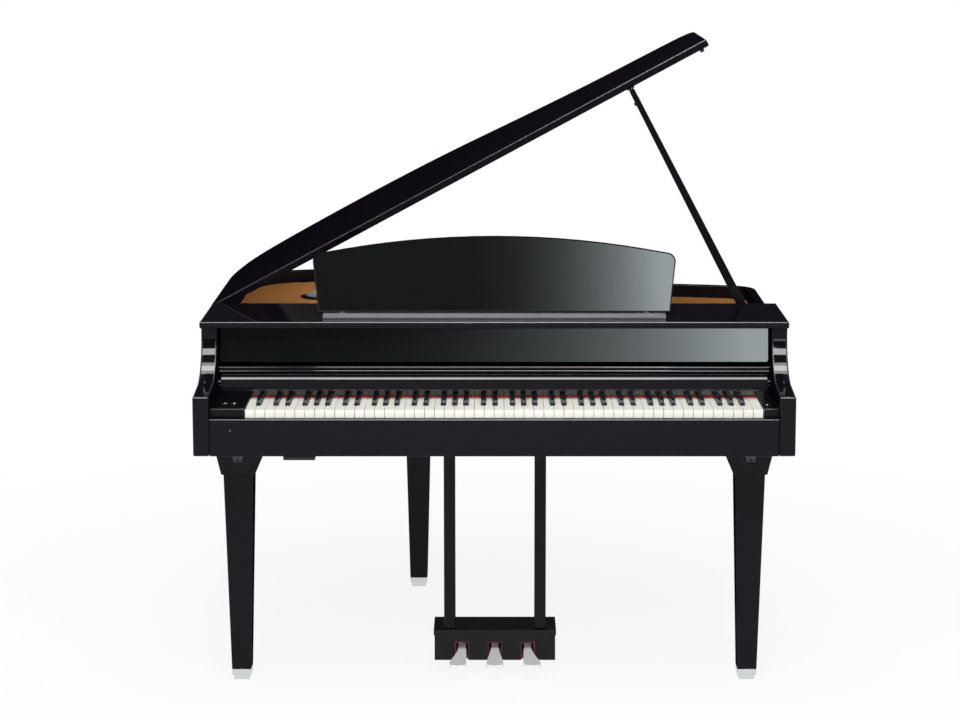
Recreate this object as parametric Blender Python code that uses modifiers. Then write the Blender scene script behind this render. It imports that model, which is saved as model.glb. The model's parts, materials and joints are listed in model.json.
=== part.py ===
"""Digital grand piano with its lid propped open, as separate parts in metres.

+X is to the player's right, +Y to the tail and +Z up. The origin is on the floor, under the middle of the
overall depth. Depths such as DECK_FRONT are measured back from the front faces of the arms.
Every moving part has its origin on the axis of its joint.
"""

import math

import bmesh
import bpy
from mathutils import Matrix, Vector

GAP = 0.0003  # clearance between parts that touch

# keyboard
KEY_PITCH = 0.0236
WHITE_COUNT = 52
KEY_SPLIT = 0.0010  # space between neighbouring white keys
WHITE_VISIBLE = 0.148
WHITE_THICKNESS = 0.020
KEY_TOP = 0.726
BLACK_WIDTH = 0.0110
BLACK_TIP_WIDTH = 0.0095
BLACK_LENGTH = 0.097
BLACK_RISE = 0.012
BLACK_SIDE_CLEARANCE = 0.0010
BLACK_SHIFTS = {"c": -0.0022, "d": 0.0022, "f": -0.0033, "g": 0.0, "a": 0.0033}
KEY_FRONT = 0.025
KEY_PIVOT = 0.298
KEY_TAIL = 0.308
KEY_BAR = 0.022  # depth of the bar that carries a block of keys
BLOCK_FOOT = 0.018  # how far the black keys' bar reaches below their tails

# case
ARM_THICKNESS = 0.0386
LEFT_PANEL_WIDTH = 0.0827
RIGHT_PANEL_WIDTH = 0.0361
KEYBED_BOTTOM = 0.619
KEYBED_THICKNESS = 0.030
KEYSLIP_THICKNESS = 0.0200
KEYSLIP_TOP = 0.708
ARM_BLOCK_TOP = 0.7615
ARM_NECK = 0.1956
COVE_RADIUS = 0.1085  # the hollow sweep of the arm's front
COVE_TOP = 0.8796
COVE_SWING = 82
DECK_FRONT = 0.170
DECK_BACK = 0.450
DECK_THICKNESS = 0.0166
DECK_TOP = 0.912
DECK_SKIRT = 0.012
TAIL_DEPTH = 1.215
RIM_INSET = 0.0116  # how far the rim's outer face stands in from the arm's
RIM_THICKNESS = 0.022
RIM_TOP = 0.8877
RIM_BOTTOM = 0.640
BOTTOM_BOARD_THICKNESS = 0.012
SOUNDBOARD_TOP = 0.855
SOUNDBOARD_THICKNESS = 0.012

# fallboard and key cover
NAME_PANEL_FRONT = 0.213
NAME_PANEL_BOTTOM = 0.8057
NAME_PANEL_THICKNESS = 0.012
NAME_PANEL_LEAN = math.radians(8)
NAME_PANEL_SIDE_SPACE = 0.0050
RAIL_FRONT = 0.200
RAIL_BOTTOM = 0.7785
RAIL_TOP = 0.7977
STRIP_FRONT = 0.1740
STRIP_THICKNESS = 0.010
COVER_FRONT = 0.150
COVER_NOSE_DEPTH = 0.030
COVER_NOSE_BOTTOM = 0.7455
COVER_NOSE_TOP = 0.7850
COVER_BOARD_BOTTOM = 0.7660
COVER_BOARD_THICKNESS = 0.010
COVER_DEPTH = 0.215
COVER_SIDE_SPACE = 0.013
TRACK_FRONT = 0.1815
TRACK_BACK = 0.400
TRACK_HEIGHT = 0.008
TRACK_WIDTH = 0.020

# lid, hinge and prop
LID_THICKNESS = 0.0185
LID_OVERHANG = 0.010
LID_FRONT = 0.466
LID_OPEN = math.radians(28.4)
HINGE_DROP = 0.0043  # from the lid's underside down to the pin
HINGE_OUT = 0.0065  # from the rim's outer face out to the pin
HINGE_PIN_RADIUS = 0.0015
HINGE_BARREL_RADIUS = 0.0035
HINGE_LEAF = 0.0020
HINGE_START = 0.520
HINGE_LENGTH = 0.300
HINGE_KNUCKLE = 0.060
PROP_BASE_IN = 0.055  # from the rim's outer face in to the prop's pivot
PROP_BASE_RISE = 0.0145  # from the soundboard up to the prop's pivot
PROP_THICKNESS = 0.010
PROP_PLANE = 0.4535
PROP_WIDE = 0.0115  # half widths of the stick
PROP_NARROW = 0.0070
PROP_TIP_SPACE = 0.0007  # from the stick's tip up to the open lid's underside
CUP_HALF = 0.010
CUP_THICKNESS = 0.0035
PROP_LEAN = math.radians(62.6)
PIN_RADIUS = 0.0030
BORE_SPACE = 0.0003
BUFFER_RADIUS = 0.0055
BUFFER_HEIGHT = 0.0080

# music desk
DESK_HINGE = 0.252
DESK_HINGE_RISE = 0.0175
DESK_LEAN = math.radians(22)
DESK_FOOT_HALF = 0.430
DESK_SHOULDER_HALF = 0.446
DESK_SHOULDER_RISE = 0.1195
DESK_CORNER = 0.0220
DESK_RISE = 0.1840
DESK_FOOT_DROP = 0.0070
DESK_THICKNESS = 0.0100
DESK_FORWARD = 0.0012  # how far the board's middle stands in front of its hinge line
DESK_SKIN = 0.0016  # what the notches leave of the board's front
EAR_RADIUS = 0.0043
LEDGE_HALF = 0.418
LEDGE_FRONT = 0.215
LEDGE_DEPTH = 0.030
LEDGE_HEIGHT = 0.0095
EAR_AT = 0.372
EAR_WIDTH = 0.012
STAY_HALF = 0.070
STAY_AT = 0.080
STAY_OUT = 0.010
STAY_LENGTH = 0.0911
STAY_ROD = 0.0020

# legs and lyre
FRONT_LEG_INSET = 0.0836  # from the arm's outer face in to the leg's middle
FRONT_LEG_DEPTH = 0.245
REAR_LEG_X = -0.213
REAR_LEG_INSET = 0.140  # from the tail's end in to the leg's middle
FERRULE_HEIGHT = 0.0278
FERRULE_STEP = 0.0130
FERRULE_FOOT = 0.0200
LEG_BOTTOM_HALF = 0.0240
LEG_TOP_HALF = 0.0365
LEG_BLOCK_BOTTOM = 0.526
BLOCK_BOTTOM_HALF = 0.0415
BLOCK_TOP_HALF = 0.0700
BLOCK_TOP_SHIFT = 0.0110
LYRE_CENTRE = 0.0015
POST_AT = 0.1125
POST_WIDTH = 0.0284
POST_FRONT = 0.258
BOX_FRONT = 0.250
BOX_DEPTH = 0.112
BOX_HALF = 0.1505
BOX_BOTTOM = 0.042
BOX_TOP = 0.120
BOX_WALL = 0.010
BOX_LID = 0.014
BOX_LID_OVERHANG = 0.002
PEDAL_SPACING = 0.082
PEDAL_SLOT_HALF = 0.0172
PEDAL_SLOT_TOP = 0.089
PEDAL_THICKNESS = 0.0078
PEDAL_REACH = 0.074
PEDAL_PIVOT = 0.335
PEDAL_PIVOT_HEIGHT = 0.080
PEDAL_SLOPE = math.radians(12)
PEDAL_TIP_HALF = 0.0222
PEDAL_ROOT_HALF = 0.0108  # half width where the paddle leaves the slot
PEDAL_NECK_HALF = 0.0090
PEDAL_SPLAY = 0.0105

# panels, sockets and sound
PANEL_TOP = 0.729
PANEL_DEPTH = 0.148
BUTTON_RADIUS = 0.0056
BUTTON_RISE = 0.0018
BUTTON_SEAT = 0.0060
HEADPHONE_X = -0.4615
HEADPHONE_WIDTH = 0.0755
HEADPHONE_DEPTH = 0.095
HEADPHONE_HEIGHT = 0.0100
SPEAKER_RADIUS = 0.062
SPEAKER_FLANGE = 0.068
SPEAKER_LEFT_X = -0.458
SPEAKER_LEFT_INSET = 0.305  # from the tail's end in to the speaker's middle
SPEAKER_RIGHT_X = 0.330
SPEAKER_RIGHT_DEPTH = 0.720

# sizes that follow
FRONT_Y = -TAIL_DEPTH / 2
KEYBOARD_WIDTH = WHITE_COUNT * KEY_PITCH
INNER_HALF = (KEYBOARD_WIDTH + LEFT_PANEL_WIDTH + RIGHT_PANEL_WIDTH) / 2
BODY_HALF = INNER_HALF + ARM_THICKNESS
KEYS_LEFT = -INNER_HALF + LEFT_PANEL_WIDTH
KEYS_RIGHT = KEYS_LEFT + KEYBOARD_WIDTH
DECK_HALF = BODY_HALF + 0.0012
DECK_UNDER = DECK_TOP - DECK_THICKNESS
RIM_HALF = BODY_HALF - RIM_INSET
RIM_START = DECK_BACK + 0.002
RIM_TAIL = TAIL_DEPTH - LID_OVERHANG
LID_UNDER = RIM_TOP + GAP
SOUNDBOARD_UNDER = SOUNDBOARD_TOP - SOUNDBOARD_THICKNESS
FRONT_LEG_AT = BODY_HALF - FRONT_LEG_INSET
REAR_LEG_DEPTH = TAIL_DEPTH - REAR_LEG_INSET
SPEAKER_SPOTS = {"speaker_left": (SPEAKER_LEFT_X, TAIL_DEPTH - SPEAKER_LEFT_INSET),
                 "speaker_right": (SPEAKER_RIGHT_X, SPEAKER_RIGHT_DEPTH)}

# The stick reaches from its pivot to just under the open lid, so its length follows from the lid's angle.
PIN_TO_PROP = 2 * RIM_HALF - PROP_BASE_IN + HINGE_OUT
PROP_OVER_PIN = SOUNDBOARD_TOP + PROP_BASE_RISE - (LID_UNDER - HINGE_DROP)
PROP_REACH = PIN_TO_PROP * math.sin(LID_OPEN) - PROP_OVER_PIN * math.cos(LID_OPEN)
PROP_LENGTH = (PROP_REACH + HINGE_DROP - PROP_TIP_SPACE) / math.sin(LID_OPEN + PROP_LEAN)

# The tail's outline as the corners that a smooth curve runs inside: shares of the half width and of the tail.
TAIL_CORNERS = (
    (1.0, 0.0), (1.0, 0.40), (1.0, 0.56), (0.86, 0.60), (0.60, 0.64), (0.30, 0.76), (-0.05, 0.945),
    (-0.35, 1.005), (-0.65, 0.995), (-0.92, 0.93), (-1.0, 0.72), (-1.0, 0.50), (-1.0, 0.0),
)

NATURALS = "abcdefg"
SHARPENED = "acdfg"


def y_at(depth):
    """World Y of a depth behind the front faces of the arms."""
    return FRONT_Y + depth


def clear_scene():
    for item in list(bpy.data.objects):
        bpy.data.objects.remove(item, do_unlink=True)


def linear(channel):
    return channel / 12.92 if channel <= 0.04045 else ((channel + 0.055) / 1.055) ** 2.4


def finish(name, colour, roughness, metallic=0.0):
    """A Principled material from a hex sRGB colour."""
    made = bpy.data.materials.get(name)
    if made:
        return made
    made = bpy.data.materials.new(name)
    made.use_nodes = True
    shader = made.node_tree.nodes["Principled BSDF"]
    channels = [linear(int(colour[i:i + 2], 16) / 255) for i in (1, 3, 5)]
    shader.inputs["Base Color"].default_value = (*channels, 1.0)
    shader.inputs["Roughness"].default_value = roughness
    shader.inputs["Metallic"].default_value = metallic
    made.diffuse_color = (*channels, 1.0)
    return made


def ebony(name):
    return finish(name, "#0b0b0f", 0.08)


def new_object(name, mesh, surface=None):
    """A part of the piano, or with no surface a cutter."""
    made = bpy.data.objects.new(name, mesh)
    if surface is None:
        cutters.objects.link(made)
        made.hide_render = True
        made.display_type = "WIRE"
    else:
        parts.objects.link(made)
        mesh.materials.append(surface)
    return made


def mesh_from(name, shape, surface):
    mesh = bpy.data.meshes.new(name)
    shape.to_mesh(mesh)
    shape.free()
    return new_object(name, mesh, surface)


def box(name, low, high, surface=None):
    shape = bmesh.new()
    low, high = Vector(low), Vector(high)
    place = Matrix.Translation((low + high) / 2) @ Matrix.Diagonal((*(high - low), 1))
    bmesh.ops.create_cube(shape, size=1, matrix=place)
    return mesh_from(name, shape, surface)


def tapered(name, bottom, top, low_z, high_z, surface=None):
    """A block between two rectangles, each (x0, x1, y0, y1)."""
    shape = bmesh.new()
    bmesh.ops.create_cube(shape, size=1)
    for corner in shape.verts:
        x0, x1, y0, y1 = top if corner.co.z > 0 else bottom
        corner.co = (
            x1 if corner.co.x > 0 else x0,
            y1 if corner.co.y > 0 else y0,
            high_z if corner.co.z > 0 else low_z,
        )
    return mesh_from(name, shape, surface)


def rod(name, start, end, radius, surface=None, sides=24):
    shape = bmesh.new()
    start, end = Vector(start), Vector(end)
    along = end - start
    place = Matrix.Translation((start + end) / 2) @ along.to_track_quat("Z", "Y").to_matrix().to_4x4()
    bmesh.ops.create_cone(shape, cap_ends=True, segments=sides, radius1=radius, radius2=radius,
                          depth=along.length, matrix=place)
    made = mesh_from(name, shape, surface)
    made.data.shade_smooth()
    made.data.set_sharp_from_angle(angle=math.radians(35))
    return made


def plate(name, outline, low, high, plane, surface=None):
    """A flat outline in the XY, YZ or XZ plane, given thickness along the third axis."""
    axes = {
        "XY": ((1, 0, 0), (0, 1, 0), (0, 0, 1)),
        "YZ": ((0, 1, 0), (0, 0, 1), (1, 0, 0)),
        "XZ": ((1, 0, 0), (0, 0, 1), (0, -1, 0)),
    }[plane]
    middle = (low + high) / 2
    normal = Vector(axes[2])
    offset = normal * (middle * sum(axes[2]))
    place = Matrix.Translation(offset) @ Matrix(axes).transposed().to_4x4()
    flat = bpy.data.curves.new(name + "_outline", "CURVE")
    flat.dimensions = "2D"
    flat.fill_mode = "BOTH"
    flat.extrude = (high - low) / 2
    spline = flat.splines.new("POLY")
    spline.points.add(len(outline) - 1)
    for point, (first, second) in zip(spline.points, outline):
        point.co = (first, second, 0, 1)
    spline.use_cyclic_u = True
    drawn = bpy.data.objects.new(name + "_outline", flat)
    parts.objects.link(drawn)
    bpy.context.view_layer.update()
    evaluated = drawn.evaluated_get(bpy.context.evaluated_depsgraph_get())
    mesh = bpy.data.meshes.new_from_object(evaluated)
    mesh.name = name
    shape = bmesh.new()
    shape.from_mesh(mesh)
    bmesh.ops.remove_doubles(shape, verts=shape.verts, dist=0.000005)
    bmesh.ops.transform(shape, matrix=place, verts=shape.verts)
    bmesh.ops.recalc_face_normals(shape, faces=shape.faces)
    shape.to_mesh(mesh)
    shape.free()
    mesh.materials.clear()
    bpy.data.objects.remove(drawn)
    bpy.data.curves.remove(flat)
    return new_object(name, mesh, surface)


def turned(name, profile, centre, surface=None, steps=32):
    """A profile of (radius, height) points, top to bottom, turned about a vertical axis."""
    mesh = bpy.data.meshes.new(name)
    points = [(radius, 0, height) for radius, height in profile]
    mesh.from_pydata(points, [(i, i + 1) for i in range(len(points) - 1)], [])
    made = new_object(name, mesh, surface)
    made.location = centre
    screw = made.modifiers.new("turn", "SCREW")
    screw.steps = steps
    screw.render_steps = steps
    screw.use_merge_vertices = True
    screw.merge_threshold = 0.0001
    screw.use_smooth_shade = True
    return made


def bent_wire(name, path, radius, surface, sides=12):
    """A round wire along (x, z) points, mitred at each bend so that every face is flat."""
    shape = bmesh.new()
    points = [Vector((x, 0, z)) for x, z in path]
    rings = []
    for i, point in enumerate(points):
        before = (point - points[i - 1]).normalized() if i else None
        after = (points[i + 1] - point).normalized() if i + 1 < len(points) else None
        along = ((before or after) + (after or before)).normalized()
        across = Vector((-along.z, 0, along.x))
        stretch = 1 / along.dot(before or after)
        ring = []
        for k in range(sides):
            turn = 2 * math.pi * (k + 0.5) / sides
            out = across * (radius * stretch * math.cos(turn))
            ring.append(shape.verts.new(point + out + Vector((0, radius * math.sin(turn), 0))))
        rings.append(ring)
    for first, second in zip(rings, rings[1:]):
        for k in range(sides):
            shape.faces.new((first[k], first[k - 1], second[k - 1], second[k]))
    shape.faces.new(rings[0])
    shape.faces.new(rings[-1][::-1])
    bmesh.ops.recalc_face_normals(shape, faces=shape.faces)
    return mesh_from(name, shape, surface)


def boolean(piece, other, operation):
    change = piece.modifiers.new(operation.lower(), "BOOLEAN")
    change.operation = operation
    change.object = other
    change.solver = "EXACT"


def cut(piece, *tools):
    for tool in tools:
        boolean(piece, tool, "DIFFERENCE")
    return piece


def join(piece, *others):
    for other in others:
        boolean(piece, other, "UNION")
    return piece


def soften(piece, width, segments=2):
    """Rounds the sharp edges."""
    bevel = piece.modifiers.new("soften", "BEVEL")
    bevel.width = width
    bevel.segments = segments
    bevel.limit_method = "ANGLE"
    bevel.angle_limit = math.radians(40)
    return piece


def put_origin(piece, point):
    """Moves a part's origin onto its joint, with its shape where it was."""
    piece.data.transform(Matrix.Translation(-Vector(point)))
    piece.location = point
    return piece


def smooth_corners(corners, rounds=3):
    """Cuts the corners of an open outline until it is a smooth curve with the same ends."""
    for _ in range(rounds):
        finer = [corners[0]]
        for (ax, ay), (bx, by) in zip(corners, corners[1:]):
            finer.append((ax * 0.75 + bx * 0.25, ay * 0.75 + by * 0.25))
            finer.append((ax * 0.25 + bx * 0.75, ay * 0.25 + by * 0.75))
        corners = [*finer, corners[-1]]
    kept = [corners[0]]
    for before, here, after in zip(corners, corners[1:], corners[2:]):
        ax, ay = here[0] - before[0], here[1] - before[1]
        bx, by = after[0] - here[0], after[1] - here[1]
        if abs(ax * by - ay * bx) > 1e-9:
            kept.append(here)
    return [*kept, corners[-1]]


def tail_curve(inset, start):
    """The tail's outline from the right round to the left, in world X and Y, moved inwards by inset."""
    span = RIM_TAIL - RIM_START
    corners = [(x * RIM_HALF, y_at(RIM_START + y * span)) for x, y in TAIL_CORNERS]
    line = [Vector(point) for point in smooth_corners(corners)]
    moved = []
    for i, point in enumerate(line):
        before = line[max(i - 1, 0)]
        after = line[min(i + 1, len(line) - 1)]
        along = (after - before).normalized()
        inwards = Vector((-along.y, along.x))
        moved.append(tuple(point + inwards * inset))
    moved[0] = (moved[0][0], y_at(start))
    moved[-1] = (moved[-1][0], y_at(start))
    return moved


def arc(centre, radius, start, end, count):
    """Points on an arc, with its angles in degrees."""
    angles = [math.radians(start + (end - start) * i / (count - 1)) for i in range(count)]
    return [(centre[0] + radius * math.cos(a), centre[1] + radius * math.sin(a)) for a in angles]


def build_rim():
    outer = tail_curve(0, RIM_START)
    inner = tail_curve(RIM_THICKNESS, RIM_START)
    rim = plate("case_rim", outer + inner[::-1], RIM_BOTTOM, RIM_TOP, "XY", ebony("polished_rim"))
    x, y = buffer_spot()
    pocket = rod("buffer_pocket", (x, y, RIM_TOP - BUFFER_HEIGHT - 0.0015), (x, y, RIM_TOP + 0.01),
                 BUFFER_RADIUS + 0.0015)
    return cut(rim, pocket)


def buffer_spot():
    """Where the lid's rubber buffer meets the rim, in world X and Y with the lid shut."""
    return RIM_HALF - RIM_THICKNESS / 2, y_at(LID_FRONT + 0.022)


def build_floor_and_soundboard():
    inside = tail_curve(RIM_THICKNESS + GAP, RIM_START + GAP)
    under = plate("bottom_board", inside, RIM_BOTTOM, RIM_BOTTOM + BOTTOM_BOARD_THICKNESS, "XY",
                  finish("painted_board", "#141416", 0.55))
    board = plate("soundboard", inside, SOUNDBOARD_UNDER, SOUNDBOARD_TOP, "XY",
                  finish("spruce_veneer", "#b9814a", 0.35))
    for name, (x, depth) in SPEAKER_SPOTS.items():
        hole = rod(name + "_hole", (x, y_at(depth), SOUNDBOARD_UNDER - 0.01),
                   (x, y_at(depth), SOUNDBOARD_TOP + 0.01), SPEAKER_RADIUS, sides=40)
        cut(board, hole)
    return under, board


def build_speakers():
    for name, (x, depth) in SPEAKER_SPOTS.items():
        neck = SPEAKER_RADIUS - 0.002
        profile = ((0, 0.0045), (SPEAKER_FLANGE * 0.7, 0.0045), (SPEAKER_FLANGE, 0.0015),
                   (SPEAKER_FLANGE, GAP), (neck, GAP), (neck, -SOUNDBOARD_THICKNESS - 0.004),
                   (0.030, -0.050), (0.030, -0.068), (0, -0.068))
        turned(name, profile, (x, y_at(depth), SOUNDBOARD_TOP), finish("speaker_black", "#17181a", 0.5), 40)


def build_arm(name, side):
    """One side arm: a flat board with a hollow sweeping front, and the track that carries the key cover."""
    cove = arc((ARM_NECK - COVE_RADIUS, COVE_TOP), COVE_RADIUS, 0, -COVE_SWING, 17)
    outline = [(ARM_NECK, DECK_UNDER - GAP), *cove, (0.0, ARM_BLOCK_TOP), (0.0, KEYBED_BOTTOM),
               (RIM_START - GAP, KEYBED_BOTTOM), (RIM_START - GAP, DECK_UNDER - GAP)]
    outline = [(y_at(depth), height) for depth, height in outline]
    low, high = sorted((side * INNER_HALF, side * BODY_HALF))
    arm = plate(name, outline, low, high, "YZ", ebony("polished_arm"))
    inner, reach = side * (INNER_HALF + 0.004), side * (INNER_HALF - TRACK_WIDTH)
    top = COVER_BOARD_BOTTOM - GAP
    track = box(name + "_track", (min(inner, reach), y_at(TRACK_FRONT), top - TRACK_HEIGHT),
                (max(inner, reach), y_at(TRACK_BACK), top))
    return join(arm, track)


def build_case_boards():
    reach = INNER_HALF - GAP
    slip_back = KEYSLIP_THICKNESS
    bed = box("keybed", (-reach, y_at(slip_back + GAP), KEYBED_BOTTOM),
              (reach, y_at(RIM_START - GAP), KEYBED_BOTTOM + KEYBED_THICKNESS),
              finish("painted_keybed", "#121215", 0.45))
    slip = box("keyslip", (-reach, y_at(0.0008), KEYBED_BOTTOM),
               (reach, y_at(slip_back), KEYSLIP_TOP), ebony("polished_keyslip"))
    soften(slip, 0.0015)
    deck = box("top_deck", (-DECK_HALF, y_at(DECK_FRONT), DECK_UNDER),
               (DECK_HALF, y_at(DECK_BACK), DECK_TOP), ebony("polished_deck"))
    skirt = box("deck_skirt", (-reach, y_at(DECK_BACK - DECK_SKIRT), SOUNDBOARD_UNDER + 0.002),
                (reach, y_at(DECK_BACK), DECK_UNDER + 0.004))
    join(deck, skirt)
    top = DECK_UNDER - GAP
    back = NAME_PANEL_FRONT + NAME_PANEL_THICKNESS
    lean = (top - NAME_PANEL_BOTTOM) * math.tan(NAME_PANEL_LEAN)
    outline = [(NAME_PANEL_FRONT, NAME_PANEL_BOTTOM), (back, NAME_PANEL_BOTTOM), (back + lean, top),
               (NAME_PANEL_FRONT + lean, top)]
    half = INNER_HALF - NAME_PANEL_SIDE_SPACE
    panel = plate("name_panel", [(y_at(d), h) for d, h in outline], -half, half, "YZ",
                  ebony("polished_name_panel"))
    return bed, slip, deck, panel


def bead_profile(front, bottom, top, beads, back):
    """A rail's cross-section with rounded beads on its front, as (depth, height) points."""
    pitch = (top - bottom) / beads
    outline = [(back, bottom)]
    for i in range(beads):
        centre = (front + pitch / 2, bottom + pitch * (i + 0.5))
        outline += arc(centre, pitch / 2 * 0.94, 270, 90, 11)
    return [*outline, (back, top)]


def build_rails():
    reach = INNER_HALF - GAP
    outline = bead_profile(RAIL_FRONT, RAIL_BOTTOM + 0.001, RAIL_TOP, 2, RAIL_FRONT + 0.016)
    outline = [(RAIL_FRONT + 0.016, RAIL_BOTTOM), (RAIL_FRONT + 0.006, RAIL_BOTTOM), *outline[1:]]
    plate("cover_rail", [(y_at(d), h) for d, h in outline], -reach, reach, "YZ", ebony("polished_rail"))
    box("fallboard_strip", (-reach, y_at(STRIP_FRONT), KEY_TOP + 0.0025),
        (reach, y_at(STRIP_FRONT + STRIP_THICKNESS), COVER_BOARD_BOTTOM - TRACK_HEIGHT - 2 * GAP),
        ebony("polished_strip"))


def build_key_cover():
    """The sliding cover: a board with a rounded nose. Its origin is on the nose."""
    reach = INNER_HALF - COVER_SIDE_SPACE
    back = COVER_FRONT + COVER_NOSE_DEPTH
    radius = 0.0050
    board_top = COVER_BOARD_BOTTOM + COVER_BOARD_THICKNESS
    front_round = arc((COVER_FRONT + 0.0030, 0.7735), 0.0030, 180, 134, 5)
    start = front_round[-1]
    slope = [(start[0] + run * math.sin(math.radians(49 + run * 400)),
              start[1] + run * math.cos(math.radians(49 + run * 400))) for run in (0.0040, 0.0080, 0.0115)]
    outline = [(COVER_FRONT + COVER_DEPTH, COVER_BOARD_BOTTOM), (back - 0.008, COVER_BOARD_BOTTOM),
               (back - 0.008, COVER_NOSE_BOTTOM), (COVER_FRONT + 0.003, COVER_NOSE_BOTTOM),
               (COVER_FRONT, COVER_NOSE_BOTTOM + 0.003)]
    outline += [*front_round, *slope, (slope[-1][0] + 0.0035, COVER_NOSE_TOP)]
    outline += arc((back - radius, COVER_NOSE_TOP - radius), radius, 90, 0, 7)
    outline += [(back, board_top), (COVER_FRONT + COVER_DEPTH, board_top)]
    cover = plate("key_cover", [(y_at(d), h) for d, h in outline], -reach, reach, "YZ",
                  ebony("polished_cover"))
    return put_origin(cover, (0, y_at(COVER_FRONT), COVER_NOSE_BOTTOM))


def white_edges(index):
    """The two long edges of a white key, front to back: x at its head and x beside the black keys."""
    letter = NATURALS[index % 7]
    left = KEYS_LEFT + index * KEY_PITCH
    right = left + KEY_PITCH
    half_split = KEY_SPLIT / 2
    notch = BLACK_WIDTH / 2 + BLACK_SIDE_CLEARANCE
    before = NATURALS[(index - 1) % 7]
    tail_left = left + half_split
    tail_right = right - half_split
    if before in BLACK_SHIFTS and index > 0:
        tail_left = left + BLACK_SHIFTS[before] + notch
    if letter in BLACK_SHIFTS and index < WHITE_COUNT - 1:
        tail_right = right + BLACK_SHIFTS[letter] - notch
    return left + half_split, right - half_split, tail_left, tail_right


def white_comb(first, last):
    """The plan of neighbouring white keys joined by a bar at the back, as world X and Y points."""
    front = y_at(KEY_FRONT)
    notch = y_at(KEY_FRONT + WHITE_VISIBLE - BLACK_LENGTH - 0.0015)
    bar = y_at(KEY_TAIL - KEY_BAR)
    tail = y_at(KEY_TAIL)
    outline = []
    for index in range(first, last + 1):
        left, right, tail_left, tail_right = white_edges(index)
        outline += [(tail_left, bar), (tail_left, notch), (left, notch), (left, front),
                    (right, front), (right, notch), (tail_right, notch), (tail_right, bar)]
    outline[0] = (outline[0][0], tail)
    outline[-1] = (outline[-1][0], tail)
    clean = []
    for point in outline:
        if not clean or (Vector(point) - Vector(clean[-1])).length > 1e-6:
            clean.append(point)
    return clean


def key_pivot(height):
    return y_at(KEY_PIVOT), height - WHITE_THICKNESS / 2


def build_whites(name, first, last):
    keys = plate(name, white_comb(first, last), KEY_TOP - WHITE_THICKNESS, KEY_TOP, "XY",
                 finish("white_key_acrylic", "#f2f0ea", 0.25))
    left, _, _, _ = white_edges(first)
    _, right, _, _ = white_edges(last)
    pivot_y, pivot_z = key_pivot(KEY_TOP)
    return put_origin(keys, ((left + right) / 2, pivot_y, pivot_z))


def black_centre(index):
    """The middle of the black key to the right of a white key."""
    return KEYS_LEFT + (index + 1) * KEY_PITCH + BLACK_SHIFTS[NATURALS[index % 7]]


def black_key(name, index, in_block, surface=None):
    """One black key, drawn from the side: a low tail under the fallboard and a raised, sloping head.

    In a block its tail ends before the white keys' bar, and has a foot that reaches down to a bar of its own.
    """
    front = KEY_FRONT + WHITE_VISIBLE - BLACK_LENGTH
    head_back = STRIP_FRONT - 0.0015
    low = KEY_TOP - WHITE_THICKNESS + 0.002
    shoulder = KEY_TOP - 0.0006
    top = KEY_TOP + BLACK_RISE
    tail = [(KEY_TAIL, low), (KEY_TAIL, shoulder)]
    if in_block:
        end = KEY_TAIL - KEY_BAR - 0.0025
        foot = low - BLOCK_FOOT + 0.001
        tail = [(end - KEY_BAR, low), (end - KEY_BAR, foot), (end, foot), (end, shoulder)]
    outline = [(front, low), *tail, (head_back, shoulder), (head_back, top),
               (front + 0.009, top), (front + 0.003, top - 0.004), (front, KEY_TOP)]
    outline = [(y_at(d), h) for d, h in outline]
    centre = black_centre(index)
    key = plate(name, outline, centre - BLACK_WIDTH / 2, centre + BLACK_WIDTH / 2, "YZ", surface)
    for corner in key.data.vertices:
        if corner.co.z > KEY_TOP + BLACK_RISE / 2:
            side = math.copysign(BLACK_TIP_WIDTH / 2, corner.co.x - centre)
            corner.co.x = centre + side
    return key


def build_blacks(name, indices):
    surface = finish("black_key_ebony", "#101012", 0.35)
    in_block = len(indices) > 1
    key = black_key(name, indices[0], in_block, surface)
    if in_block:
        merged = bmesh.new()
        for index in indices[1:]:
            other = black_key(name + "_more", index, in_block)
            merged.from_mesh(other.data)
            bpy.data.objects.remove(other)
        others = mesh_from(name + "_rest", merged, None)
        reach = BLACK_WIDTH / 2 - 0.001
        end = KEY_TAIL - KEY_BAR - 0.0025
        low = KEY_TOP - WHITE_THICKNESS + 0.002
        first = black_centre(indices[0])
        bar = box(name + "_bar", (first - reach, y_at(end - KEY_BAR + 0.001), low - BLOCK_FOOT),
                  (black_centre(indices[-1]) + reach, y_at(end - 0.001), low - 0.0045))
        join(key, bar, others)
    middle = (black_centre(indices[0]) + black_centre(indices[-1])) / 2
    pivot_y, pivot_z = key_pivot(KEY_TOP)
    return put_origin(key, (middle, pivot_y, pivot_z))


def build_keys():
    """One octave is key by key. The keys below and above it are blocks, each carried by a bar."""
    first_c = 2 + 7 * 3
    whites = range(first_c, first_c + 7)
    blacks = [i for i in range(WHITE_COUNT - 1) if NATURALS[i % 7] in SHARPENED]
    build_whites("white_keys_bass", 0, whites[0] - 1)
    build_whites("white_keys_treble", whites[-1] + 1, WHITE_COUNT - 1)
    build_blacks("sharp_keys_bass", [i for i in blacks if i < whites[0]])
    build_blacks("sharp_keys_treble", [i for i in blacks if i > whites[-1]])
    for index in whites:
        letter = NATURALS[index % 7]
        build_whites("white_key_" + letter, index, index)
        if index in blacks:
            build_blacks("sharp_key_" + letter, [index])


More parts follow.
